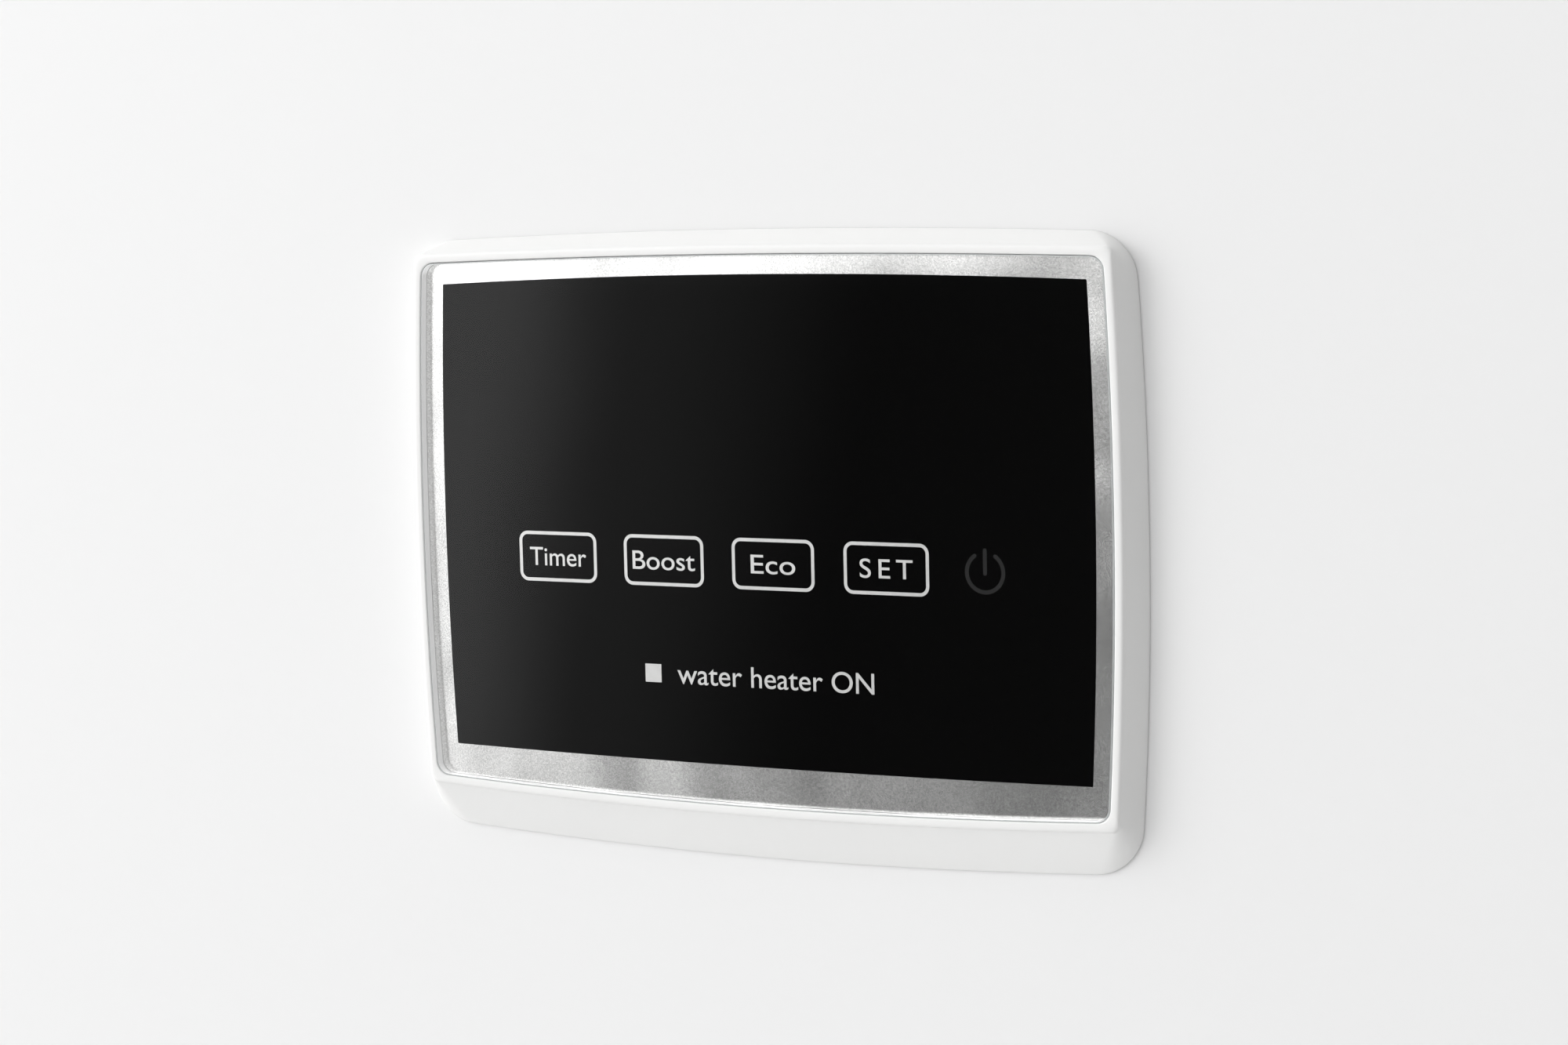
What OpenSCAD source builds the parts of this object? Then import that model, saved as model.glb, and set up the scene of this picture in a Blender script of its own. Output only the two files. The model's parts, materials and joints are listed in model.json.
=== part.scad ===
// Touch control panel of a storage water heater: a module pushed into a cut-out of the casing.
// X runs to the right, the front faces -Y and Z points up. Y = 0 is the casing's outer face, and
// the origin is the centre of the bezel's back.

/* [Lens] */
// Width of the lens across its bowed sides
lens_w = 124; // [118:0.2:180]
// Height of the lens across its bowed top and bottom
lens_h = 88.4; // [84:0.2:140]
// Thickness of the clear lens
lens_t = 1.6; // [1:0.1:3]
// Clear gap between the lens and the bezel's rim
lens_gap = 0.15; // [0.05:0.05:0.4]
// Width of the silver border at each side of the window
border_side = 3.4; // [2:0.1:4]
// Width of the silver border above the window
border_top = 3.1; // [2:0.1:4]
// Width of the silver border below the window
border_bottom = 6.2; // [3:0.1:7]
// Thickness of a printed layer
print_t = 0.15; // [0.1:0.05:0.3]
// Thickness of the adhesive frame behind the lens
tape_t = 0.25; // [0.15:0.05:0.6]

/* [Keys] */
// Distance between the centres of neighbouring keys
key_pitch = 20; // [18:0.5:24]
// Width of a printed key box
key_w = 14.8; // [10:0.1:16]
// Height of a printed key box
key_h = 8.3; // [6:0.1:10]
// Outer corner radius of a printed key box
key_r = 1.6; // [1:0.1:2.5]
// Distance of the first key's centre left of the middle
first_key = 36.75; // [34:0.25:40]
// Height of the key row, from the middle of the bezel
key_z = -2.5; // [-6:0.5:0]
// Width of the lines of the printed legends
stroke = 0.55; // [0.4:0.05:0.9]
// Outer diameter of the standby symbol
standby_d = 6.8; // [5:0.1:8]
// Width of the lines of the standby symbol
standby_stroke = 0.65; // [0.4:0.05:1]
// Width of the opening at the top of the standby symbol
standby_opening = 2.8; // [2:0.1:3.6]
// Width of the square indicator
indicator_w = 3; // [2:0.1:4]

/* [Bezel] */
// How far the bezel stands off the casing
stand_off = 5; // [4.5:0.1:8]
// Width of the flat rim round the lens
rim_w = 1.5; // [1:0.1:3]
// Sideways reach of the steep side and top slopes
steep_slope = 2.3; // [2:0.1:6]
// Downward reach of the gentle lower slope
lower_slope = 7.5; // [6:0.1:14]
// Height of the square foot of the bezel on the casing
foot_h = 0.6; // [0.3:0.1:1]
// Radius of the bezel's outer corners
corner_r = 7; // [5:0.5:9]
// Wall thickness of the mouldings
wall = 2; // [1.5:0.1:2.5]

/* [Housing] */
// Depth of the housing behind the casing's face
housing_depth = 20; // [19.5:0.5:30]
// Length of the bezel's own skirt behind the casing's face
skirt_depth = 8; // [7.8:0.1:9]
// Distance from the bezel's side edge to the housing's side wall
side_inset = 7.15; // [6.5:0.1:9]
// Distance from the bezel's top and bottom edges to the housing's walls
end_inset = 9.3; // [9:0.1:11]
// Thickness of the circuit board
board_t = 1.6; // [1:0.2:2]
// Clearance between the board and the walls round it
board_gap = 1; // [0.5:0.1:2]
// Width of the cable opening
cable_w = 24; // [20:1:30]
// Height of the cable opening
cable_h = 15; // [12:1:18]

/* [Clips] */
// Distance of each clip's centre from the middle
clip_x = 38; // [30:1:42]
// Width of a clip
clip_w = 12; // [10:0.5:14]
// Diameter of the clip pins
pin_d = 1.6; // [1.4:0.1:2]
// Radial running clearance between a pin and its clip
pin_gap = 0.05; // [0.03:0.01:0.1]
// Distance of the clip pins behind the casing's face
pin_y = 15; // [14:0.5:15.5]
// Thickness of the clips' spring steel
leaf_t = 0.5; // [0.4:0.05:0.6]

/* [Hidden] */
$fn = 48;
eps = 0.01;

// Bows of the outlines, as [each side, top, bottom]: how far a side's middle stands past its ends.
lens_bow = [1.3, 0.95, 1.7];
window_bow = [1, 1.25, 0.55];
rim_bow = [1.35, 0.95, 1.8];
bezel_bow = [1.9, 1.3, 2.2];
lens_r = 2;
rim_r = 1.2;
edge_points = 12;
corner_points = 8;

// Overall size of the bezel, and the place of the lens in it.
rim_out = lens_gap + rim_w;
bezel_w = lens_w + 2 * (rim_out + steep_slope);
bezel_h = lens_h + 2 * rim_out + steep_slope + lower_slope;
lens_z = (lower_slope - steep_slope) / 2;
window_w = lens_w - 2 * border_side;
window_h = lens_h - border_top - border_bottom;
window_z = lens_z + (border_bottom - border_top) / 2;

// Layers from the front to the back.
front_y = -stand_off;
print_y = front_y + lens_t;
tape_y = print_y + print_t;
ledge_y = tape_y + tape_t;
floor_y = ledge_y + wall;
display_h = 8;
display_gap = 0.45;
board_y = tape_y + display_gap + display_h;
board_back = board_y + board_t;
cover_floor = housing_depth - wall;

// Housing outline and what fits in it.
housing_w = bezel_w - 2 * side_inset;
housing_h = bezel_h - 2 * end_inset;
housing_r = 3;
inner_w = housing_w - 2 * wall;
inner_h = housing_h - 2 * wall;
board_w = inner_w - 2 * board_gap;
board_h = inner_h - 2 * board_gap;

// Screws and their bosses.
boss_r = 3;
boss_inset = 3.5;
screw_x = board_w / 2 - boss_inset;
cover_screw_z = board_h / 2 - boss_inset;
board_screw_z = 12;
shank_r = 1;
pilot_gap = 0.05;
screw_clear_r = 1.5;
head_r = 2.4;
head_h = 1.6;
head_gap = 0.3;
cover_head_y = cover_floor - 4;
pilot_end = floor_y - 0.5;
screw_tip_y = pilot_end + 0.5;

// The window through the bezel's floor, kept inside the bosses.
floor_hole_w = 2 * (screw_x - boss_r);
floor_hole_top = 34;
floor_hole_bottom = 30;
floor_hole_h = floor_hole_top + floor_hole_bottom;
floor_hole_z = (floor_hole_top - floor_hole_bottom) / 2;

// Display, keys and indicator.
display_w = 50.3;
display_tall = 19;
display_z = 21;
well_gap = 0.8;
digit_pitch = 12.6;
digit_h = 14;
segment_w = 1.4;
segment_depth = 1;
key_xs = [for (i = [0:3]) i * key_pitch - first_key];
// The standby key sits this share of the way from the last key's box to the edge of the window.
standby_share = 0.34;
last_key_edge = key_xs[3] + key_w / 2;
standby_x = last_key_edge + standby_share * (window_w / 2 - last_key_edge);
touch_xs = concat(key_xs, [standby_x]);
key_well_w = key_w - 1;
key_well_h = 9.2;
standby_well_w = 11;
well_wall = 1.5;
indicator_x = -19.2;
indicator_z = -21;
pipe_gap = 0.15;
spring_wire_r = 0.3;
touch_spring_r = 3.6;
led_size = [1.6, 0.6, 0.8];

// Parts on the back of the board.
header_at = [30, -22];
header_size = [13.5, 7, 5.8];
header_wall = 0.8;
buzzer_at = [-36, -22];
buzzer_r = 6;
buzzer_h = 8.5;
capacitor_at = [6, -24];
capacitor_r = 3.15;
capacitor_h = 9;

// Clips: pivot, knee and foot as [Y, Z] in the side view of a clip on the top wall.
pin_r = pin_d / 2;
eye_in = pin_r + pin_gap;
eye_out = eye_in + leaf_t + 0.1;
eye_lift = 0.15;
pin_z = housing_h / 2 + eye_lift + eye_out;
knee = [3.4, pin_z + 4];
foot = [1.1, pin_z + 1.9];
leaf_start = [pin_y, pin_z + eye_out - leaf_t / 2];
leaf_slope = (knee[1] - leaf_start[1]) / (leaf_start[0] - knee[0]);
tail_end = [pin_y + 3.2, housing_h / 2 + eye_lift + leaf_t / 2];
coil_slot_w = 5.2;
coil_slot_y = 8.4;
ear_t = 2;
ear_gap = 0.3;
ear_len = 3.6;
coil_wire_r = 0.25;
coil_r = pin_r + 0.2 + coil_wire_r;
coil_turns = 5;
rest_leg = 3;
leg_seat_depth = 0.9;
// The pushing leg ends under the leaf, just past its slot: its end, seen from the pin.
push_leg_y = pin_y - coil_slot_y + 0.8;
push_leg_z = leaf_start[1] + leaf_slope * push_leg_y - leaf_t * 0.52 - coil_wire_r - 0.1 - pin_z;

// Cut-out of the casing that the module is pushed into, and the seal round it.
cutout_w = housing_w + 1.6;
cutout_h = 2 * (pin_z + eye_out + 0.5);
gasket_w = 2.4;
gasket_depth = 0.8;
gasket_margin = 0.6;

// ---- outlines ----

// Points of a rounded rectangle whose sides bow outward: w and h are measured over the bows.
function bowed(w, h, bow, r) =
    let (hw = w / 2 - bow[0], zt = h / 2 - bow[1], zb = bow[2] - h / 2,
         zc = (zt + zb) / 2, hh = (zt - zb) / 2)
    [for (p = rounded_points(hw, hh, r))
        let (tx = p[0] / hw, tz = p[1] / hh)
        [p[0] + bow[0] * (1 - tz * tz) * tx,
         zc + p[1] + (tz > 0 ? bow[1] : bow[2]) * (1 - tx * tx) * tz]];

// Points of a rounded rectangle of half sizes hw and hh, with extra points along its straight sides.
function rounded_points(hw, hh, r) =
    let (centres = [[hw - r, hh - r], [r - hw, hh - r], [r - hw, r - hh], [hw - r, r - hh]])
    [for (q = [0:3])
        let (c = centres[q], d = centres[(q + 1) % 4], turn = 90 * (q + 1),
             out = r * [cos(turn), sin(turn)])
        each concat(
            [for (k = [0:corner_points]) let (a = turn - 90 + 90 * k / corner_points)
                c + r * [cos(a), sin(a)]],
            [for (k = [1:edge_points - 1]) c + out + (d - c) * k / edge_points])];

module lens_outline(grow = 0) {
    translate([0, lens_z])
        polygon(bowed(lens_w + 2 * grow, lens_h + 2 * grow, lens_bow, lens_r + max(grow, 0)));
}

module window_outline() {
    translate([0, window_z]) polygon(bowed(window_w, window_h, window_bow, 0.2));
}

module rounded(w, h, r) {
    polygon(rounded_points(w / 2, h / 2, r));
}

// Raises a flat shape drawn in X and Z from y_front to y_back.
module layer(y_front, y_back) {
    translate([0, y_back, 0]) rotate([90, 0, 0]) linear_extrude(y_back - y_front) children();
}

module y_cylinder(r, y_front, y_back) {
    translate([0, y_back, 0]) rotate([90, 0, 0]) cylinder(r = r, h = y_back - y_front);
}

module at_corners(x, z) {
    for (sx = [-1, 1], sz = [-1, 1]) translate([sx * x, 0, sz * z]) children();
}

module at_screws() {
    at_corners(screw_x, cover_screw_z) children();
    at_corners(screw_x, board_screw_z) children();
}

// A wire along a path, wound about the given axis; the path never runs along that axis.
module wire(path, axis, r, sides = 6) {
    last = len(path) - 1;
    points = [for (i = [0:last])
        let (t = path[min(i + 1, last)] - path[max(i - 1, 0)],
             u = cross(t, axis) / norm(cross(t, axis)),
             v = cross(t, u) / norm(cross(t, u)))
        for (k = [0:sides - 1]) path[i] + r * (cos(360 * k / sides) * u + sin(360 * k / sides) * v)];
    faces = concat(
        [[for (k = [0:sides - 1]) k]],
        [for (i = [0:last - 1], k = [0:sides - 1])
            let (a = i * sides + k, b = i * sides + (k + 1) % sides)
            each [[a, a + sides, b + sides], [a, b + sides, b]]],
        [[for (k = [sides - 1:-1:0]) last * sides + k]]);
    polyhedron(points, faces);
}

// ---- front ----

module front_bezel() {
    color("white") difference() {
        union() {
            difference() {
                bezel_body();
                layer(front_y - 1, ledge_y) lens_outline(lens_gap);
                layer(floor_y, 1) rounded(inner_w, inner_h, housing_r - wall / 2);
            }
            layer(floor_y, skirt_depth) difference() {
                rounded(housing_w, housing_h, housing_r);
                rounded(inner_w, inner_h, housing_r - wall / 2);
            }
            at_screws() y_cylinder(boss_r, floor_y - eps, board_y);
        }
        layer(front_y, 1) floor_hole(0);
        gasket_ring(0);
        at_screws() y_cylinder(shank_r + pilot_gap, pilot_end, board_y + 1);
    }
}

// The solid frame between the casing and the crest of the rim, before it is hollowed.
module bezel_body() {
    hull() {
        layer(-foot_h, 0) polygon(bowed(bezel_w, bezel_h, bezel_bow, corner_r));
        translate([0, 0, lens_z]) {
            layer(front_y + 0.5, front_y + 0.5 + eps) rim_outline(0);
            layer(front_y + 0.15, front_y + 0.15 + eps) rim_outline(0.15);
            layer(front_y, front_y + eps) rim_outline(0.5);
        }
    }
}

module rim_outline(inset) {
    grow = 2 * (rim_out - inset);
    polygon(bowed(lens_w + grow, lens_h + grow, rim_bow, rim_r));
}

module floor_hole(shrink) {
    translate([0, floor_hole_z])
        rounded(floor_hole_w - 2 * shrink, floor_hole_h - 2 * shrink, housing_r - shrink);
    key_row_hole(shrink);
}

// The part of the floor's hole behind the key row, which a wide row takes past the main hole.
module key_row_hole(shrink) {
    left = key_xs[0] - key_well_w / 2 - well_wall + shrink;
    right = standby_x + standby_well_w / 2 + well_wall - shrink;
    translate([(left + right) / 2, key_z])
        rounded(right - left, key_well_h + 2 * (well_wall - shrink), well_wall - shrink / 2);
}

module lens_panel() {
    color("lightcyan", 0.4) layer(front_y, print_y) lens_outline();
}

module silver_border() {
    color("silver") layer(print_y, tape_y) difference() {
        lens_outline(-0.1);
        window_outline();
    }
}

module black_mask() {
    color("black") layer(print_y, tape_y) difference() {
        window_outline();
        legend_shapes();
    }
}

module key_legends() {
    color("gainsboro") layer(print_y, tape_y) legend_shapes();
}

module legend_shapes() {
    for (x = key_xs) translate([x, key_z]) difference() {
        rounded(key_w, key_h, key_r);
        rounded(key_w - 2 * stroke, key_h - 2 * stroke, key_r - stroke);
    }
    translate([standby_x, key_z]) standby_symbol();
    translate([indicator_x, indicator_z]) square(indicator_w, center = true);
}

// A ring that is open at the top, and a bar in the opening, all with round ends.
module standby_symbol() {
    steps = 40;
    caps = 6;
    end_r = standby_stroke / 2;
    mid_r = standby_d / 2 - end_r;
    side = asin((standby_opening / 2 + end_r) / mid_r);
    start = 90 + side;
    sweep = 360 - 2 * side;
    end = start + sweep;
    polygon(concat(
        [for (i = [0:steps]) polar(mid_r + end_r, start + sweep * i / steps)],
        [for (i = [1:caps - 1]) polar(mid_r, end) + polar(end_r, end + 180 * i / caps)],
        [for (i = [0:steps]) polar(mid_r - end_r, end - sweep * i / steps)],
        [for (i = [1:caps - 1]) polar(mid_r, start) + polar(end_r, start + 180 + 180 * i / caps)]));
    translate([0, 0.24 * standby_d]) rounded(standby_stroke, 0.62 * standby_d, 0.9 * end_r);
}

function polar(r, a) = r * [cos(a), sin(a)];

module lens_tape() {
    color("dimgray") layer(tape_y, ledge_y) difference() {
        lens_outline(-0.6);
        floor_hole(-0.8);
    }
}

module gasket_ring(shrink) {
    inner = gasket_margin + shrink;
    outer = gasket_margin + gasket_w - shrink;
    layer(-gasket_depth, shrink > 0 ? 0 : 1) difference() {
        rounded(cutout_w + 2 * outer, cutout_h + 2 * outer, 5);
        rounded(cutout_w + 2 * inner, cutout_h + 2 * inner, 3);
    }
}

module casing_gasket() {
    color("darkslategray") gasket_ring(0.1);
}

// ---- light and display ----

module light_frame() {
    clear = 0.5;
    color("whitesmoke") layer(tape_y, board_y) difference() {
        floor_hole(clear);
        translate([0, display_z]) square([display_w + well_gap, display_tall + well_gap], center = true);
        for (x = key_xs) translate([x, key_z]) rounded(key_well_w, key_well_h, 1);
        translate([standby_x, key_z]) rounded(standby_well_w, key_well_h, 1);
        translate([indicator_x, indicator_z])
            square(indicator_w - 0.2 + 2 * pipe_gap, center = true);
    }
}

module digit_display() {
    color("dimgray") difference() {
        translate([-display_w / 2, board_y - display_h, display_z - display_tall / 2])
            cube([display_w, display_h, display_tall]);
        layer(board_y - display_h - 1, board_y - display_h + segment_depth) digits();
    }
}

module display_segments() {
    color("lightgray") layer(board_y - display_h, board_y - display_h + segment_depth) digits();
}

// Four digits of seven segments, and the colon between the pairs.
module digits() {
    span = digit_h - segment_w;
    wide = span / 2;
    for (i = [-1.5:1.5]) translate([i * digit_pitch, display_z]) {
        for (z = [-1:1]) translate([0, z * wide]) segment(wide, 0);
        for (x = [-1, 1], z = [-1, 1]) translate([x * wide / 2, z * wide / 2]) segment(wide, 90);
    }
    for (z = [-1, 1]) translate([0, display_z + z * 2.6]) circle(d = segment_w, $fn = 24);
}

module segment(length, turn) {
    half = (length - 0.5) / 2;
    e = segment_w / 2;
    rotate(turn) polygon([[-half, 0], [e - half, e], [half - e, e], [half, 0], [half - e, -e],
                          [e - half, -e]]);
}

module display_pins() {
    color("silver") display_pin_places() y_cylinder(0.25, board_y, board_back + 1.2);
}

module display_pin_places() {
    for (i = [-2.5:2.5], s = [-1, 1])
        translate([i * 2.54, 0, display_z + s * 7.62]) children();
}

module indicator_light_pipe() {
    side = indicator_w - 0.2;
    color("lightyellow") translate([indicator_x, 0, indicator_z])
        layer(tape_y, board_y - led_size[1]) square(side, center = true);
}

module key_leds() {
    color("khaki") {
        for (x = touch_xs) led_at(x, key_z);
        led_at(indicator_x, indicator_z);
    }
}

module led_at(x, z) {
    translate([x - led_size[0] / 2, board_y - led_size[1], z - led_size[2] / 2]) cube(led_size);
}

module touch_springs() {
    turns = 4;
    steps = 14;
    length = board_y - tape_y - 2 * spring_wire_r;
    color("gold") for (x = touch_xs)
        translate([x, tape_y + spring_wire_r, key_z])
            wire([for (i = [0:turns * steps]) let (a = 360 * i / steps)
                     [touch_spring_r * cos(a), length * coil_rise(i / steps, turns),
                      touch_spring_r * sin(a)]],
                 [0, 1, 0], spring_wire_r);
}

// Height share of a coil whose first and last half turns lie flat.
function coil_rise(turn, turns) = min(max((turn - 0.5) / (turns - 1), 0), 1);

// ---- board ----

module main_board() {
    color("darkgreen") difference() {
        layer(board_y, board_back) rounded(board_w, board_h, 2);
        at_screws() y_cylinder(screw_clear_r, board_y - 1, board_back + 1);
        display_pin_places() y_cylinder(0.35, board_y - 1, board_back + 1);
    }
}

// A chip with leads down two sides: body size in X, depth and Z, and leads along each side.
module chip(x, z, size, leads) {
    pitch = 1.27;
    lead = [0.45, 0.9, 1.2];
    translate([x, board_back, z]) {
        translate([-size[0] / 2, 0.15, -size[2] / 2]) cube(size);
        for (i = [0:leads - 1], s = [-1, 1])
            translate([(i - (leads - 1) / 2) * pitch - lead[0] / 2, 0,
                       s > 0 ? size[2] / 2 : -size[2] / 2 - lead[2]]) {
                cube([lead[0], 0.2, lead[2]]);
                translate([0, 0, s > 0 ? 0 : lead[2] - 0.3]) cube([lead[0], lead[1], 0.3]);
            }
    }
}

module microcontroller() {
    color("black") chip(-14, 4, [18, 2.2, 7.5], 14);
}

module touch_controller() {
    color("black") chip(18, 2, [10, 1.6, 4], 8);
}

module chip_capacitors() {
    color("tan") for (i = [0:5], j = [0, 1])
        translate([-26 + 4.4 * i, board_back, 14 - 21 * j]) cube([2, 0.9, 1.25]);
}

module chip_resistors() {
    color("black") for (i = [0:7])
        translate([11 + 2.6 * i, board_back, 9]) cube([1.6, 0.5, 0.8]);
}

module crystal() {
    color("silver") layer(board_back, board_back + 3.5)
        translate([-36, 4]) rounded(4.6, 11, 2.2);
}

module voltage_regulator() {
    color("black") translate([12, board_back, -22]) {
        translate([0, 0.1, 0]) cube([6.5, 1.6, 3.5]);
        translate([1.75, 0, 3.5]) cube([3, 0.8, 1.4]);
        for (i = [0:2]) translate([0.6 + 2.3 * i, 0, -1.4]) cube([0.7, 0.8, 1.4]);
    }
}

module smoothing_capacitor() {
    color("navy") translate([capacitor_at[0], 0, capacitor_at[1]])
        y_cylinder(capacitor_r, board_back, board_back + capacitor_h);
}

module buzzer() {
    color("black") translate([buzzer_at[0], 0, buzzer_at[1]]) difference() {
        y_cylinder(buzzer_r, board_back, board_back + buzzer_h);
        y_cylinder(1, board_back + buzzer_h - 2, board_back + buzzer_h + 1);
    }
}

module cable_header() {
    y_end = board_back + header_size[1];
    color("ivory") translate([header_at[0], 0, header_at[1]]) difference() {
        layer(board_back, y_end) square([header_size[0], header_size[2]], center = true);
        layer(board_back + 1.5, y_end + 1)
            square([header_size[0] - 2 * header_wall, header_size[2] - 2 * header_wall], center = true);
        header_pin_places() translate([0, board_back - 1, 0]) rotate([-90, 0, 0])
            cylinder(r = 0.4, h = 4);
    }
}

module header_pin_places() {
    for (i = [-2:2]) translate([2.5 * i, 0, 0]) children();
}

module header_pins() {
    side = 0.5;
    color("gold") translate([header_at[0], 0, header_at[1]]) header_pin_places()
        translate([-side / 2, board_back, -side / 2]) cube([side, header_size[1] - 1, side]);
}

// ---- rear cover and screws ----

// A pan-head screw pointing to the front: its head sits on y_seat and its tip is at y_tip.
module screw(y_seat, y_tip) {
    difference() {
        union() {
            y_cylinder(shank_r, y_tip, y_seat + eps);
            y_cylinder(head_r, y_seat, y_seat + head_h);
        }
        for (turn = [0, 90]) rotate([0, turn, 0])
            translate([-1.3, y_seat + head_h - 0.9, -0.3]) cube([2.6, 1, 0.6]);
    }
}

module board_screws() {
    color("silver") at_corners(screw_x, board_screw_z) screw(board_back, screw_tip_y);
}

module cover_screws() {
    color("silver") at_corners(screw_x, cover_screw_z) screw(cover_head_y, screw_tip_y);
}

module rear_cover() {
    lip_t = 1.2;
    lip_gap = 0.2;
    lip_len = 1;
    color("whitesmoke") {
        difference() {
            union() {
                layer(skirt_depth, housing_depth) rounded(housing_w, housing_h, housing_r);
                layer(skirt_depth - lip_len, skirt_depth + eps)
                    rounded(inner_w - 2 * lip_gap, inner_h - 2 * lip_gap, housing_r - wall / 2);
            }
            layer(skirt_depth - lip_len - 1, skirt_depth)
                rounded(inner_w - 2 * (lip_gap + lip_t), inner_h - 2 * (lip_gap + lip_t), 1);
            layer(skirt_depth - eps, cover_floor) rounded(inner_w - 2 * lip_t, inner_h - 2 * lip_t, 1);
            cable_cut();
            post_bores();
            leg_seats();
        }
        at_corners(screw_x, cover_screw_z) difference() {
            y_cylinder(boss_r + 0.7, board_back, cover_floor + eps);
            y_cylinder(screw_clear_r, board_back - 1, cover_floor + 1);
            y_cylinder(head_r + head_gap, cover_head_y, cover_floor + 1);
        }
        clip_ears();
    }
}

module cable_cut() {
    translate([header_at[0], 0, header_at[1]])
        layer(cover_floor - 1, housing_depth + 1) rounded(cable_w, cable_h, 2);
}

module post_bores() {
    at_corners(screw_x, cover_screw_z) y_cylinder(head_r + head_gap, cover_head_y, housing_depth + 1);
}

// Shallow seats in the top and bottom walls for the springs' resting legs.
module leg_seats() {
    at_clips() translate([-coil_slot_w / 2, pin_y - rest_leg - 1, housing_h / 2 - leg_seat_depth])
        cube([1.6, rest_leg + 1.6, leg_seat_depth + 1]);
}

module clip_ears() {
    inner = clip_w / 2 + ear_gap;
    at_clips() for (s = [0, 1]) mirror([s, 0, 0]) difference() {
        translate([inner, pin_y - ear_len / 2, housing_h / 2 - eps])
            cube([ear_t, ear_len, pin_z - housing_h / 2 + pin_r + 0.7]);
        translate([inner - 1, pin_y, pin_z]) rotate([0, 90, 0]) cylinder(r = pin_r + 0.02, h = ear_t + 2);
    }
}

// Places a piece that is drawn for the top wall at one clip: s_x and s_z give its side.
module at_clip(s_x, s_z) {
    translate([s_x * clip_x, 0, 0]) mirror([0, 0, s_z < 0 ? 1 : 0]) children();
}

module at_clips() {
    for (s_x = [-1, 1], s_z = [-1, 1]) at_clip(s_x, s_z) children();
}

module clip_pins() {
    length = clip_w + 2 * (ear_gap + ear_t) + 0.6;
    color("silver") at_clips() translate([-length / 2, pin_y, pin_z]) rotate([0, 90, 0])
        cylinder(r = pin_r, h = length);
}

// A straight stretch of sheet metal between two points of the side view.
module strip(p, q) {
    translate(p) rotate(atan2(q[1] - p[1], q[0] - p[0]))
        translate([0, -leaf_t / 2]) square([norm(q - p), leaf_t]);
    translate(q) circle(d = leaf_t, $fn = 24);
}

module clip_side_view() {
    difference() {
        union() {
            translate([pin_y, pin_z]) circle(r = eye_out);
            strip(leaf_start, knee);
            strip(knee, foot);
            strip([pin_y + 1, pin_z - eye_out + leaf_t / 2], tail_end);
        }
        translate([pin_y, pin_z]) circle(r = eye_in);
    }
}

module clip(s_x, s_z) {
    color("lightsteelblue") at_clip(s_x, s_z) difference() {
        translate([-clip_w / 2, 0, 0]) rotate([90, 0, 90]) linear_extrude(clip_w) clip_side_view();
        translate([-coil_slot_w / 2, coil_slot_y, 0]) cube([coil_slot_w, 20, pin_z + 20]);
    }
}

// The torsion spring of a clip: one leg rests on the housing, and the other pushes the leaf out.
module clip_spring(s_x, s_z) {
    steps = 14;
    pitch = (coil_slot_w - 2 * coil_wire_r - 0.6) / coil_turns;
    start_x = 0.3 + coil_wire_r - coil_slot_w / 2;
    leave = 180 - atan2(push_leg_z, push_leg_y) - acos(coil_r / norm([push_leg_y, push_leg_z]));
    wound = 360 * (coil_turns - 1) + 90 + leave;
    count = floor(wound / 360 * steps);
    color("silver") at_clip(s_x, s_z) wire(
        concat(
            [for (y = [rest_leg, 1]) [start_x, pin_y - y, pin_z - coil_r]],
            [for (i = [0:count]) let (a = 270 + wound * i / count)
                [start_x + pitch * (a - 270) / 360, pin_y + coil_r * cos(a), pin_z + coil_r * sin(a)]],
            [[start_x + pitch * wound / 360, pin_y - push_leg_y, pin_z + push_leg_z]]),
        [1, 0, 0], coil_wire_r);
}

module clip_top_left() { clip(-1, 1); }
module clip_top_right() { clip(1, 1); }
module clip_bottom_left() { clip(-1, -1); }
module clip_bottom_right() { clip(1, -1); }
module spring_top_left() { clip_spring(-1, 1); }
module spring_top_right() { clip_spring(1, 1); }
module spring_bottom_left() { clip_spring(-1, -1); }
module spring_bottom_right() { clip_spring(1, -1); }

front_bezel();
lens_panel();
silver_border();
black_mask();
key_legends();
lens_tape();
casing_gasket();
light_frame();
digit_display();
display_segments();
display_pins();
indicator_light_pipe();
key_leds();
touch_springs();
main_board();
microcontroller();
touch_controller();
chip_capacitors();
chip_resistors();
crystal();
voltage_regulator();
smoothing_capacitor();
buzzer();
cable_header();
header_pins();
board_screws();
rear_cover();
cover_screws();
clip_pins();
clip_top_left();
clip_top_right();
clip_bottom_left();
clip_bottom_right();
spring_top_left();
spring_top_right();
spring_bottom_left();
spring_bottom_right();
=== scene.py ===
"""Heating control panel for the casing of a water heater: its pieces, finishes and studio.

Sizes are in metres. The panel faces -Y, Z is up, and Y = 0 is the outer face of the casing.
"""

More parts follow.
